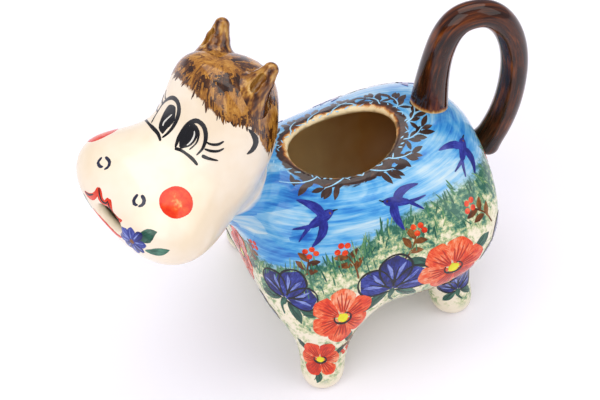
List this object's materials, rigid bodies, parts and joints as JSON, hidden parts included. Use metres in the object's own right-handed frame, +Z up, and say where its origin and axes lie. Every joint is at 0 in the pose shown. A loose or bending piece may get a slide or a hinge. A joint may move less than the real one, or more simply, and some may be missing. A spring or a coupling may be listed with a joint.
{
  "type": "cow creamer",
  "caption": "Hollow stoneware creamer shaped as a standing cow: filled through the back, poured through the mouth, held by a looped tail.",
  "frame": {"origin": "on the table, under the middle of the box that the creamer stands in", "axes": "+X towards the head, +Y to the animal's left, +Z up"},
  "size_m": [0.1764, 0.0936, 0.1461],
  "materials": {
    "painted_glaze": "gloss, hand painted under a clear glaze",
    "cream_glaze": "gloss",
    "brown_glaze": "gloss, streaked with rust brown"
  },
  "bodies": {
    "root": {"body_casting": "painted_glaze", "head_casting": "cream_glaze", "left_ear": "brown_glaze", "right_ear": "brown_glaze", "tail_handle": "brown_glaze"}
  },
  "joints": []
}
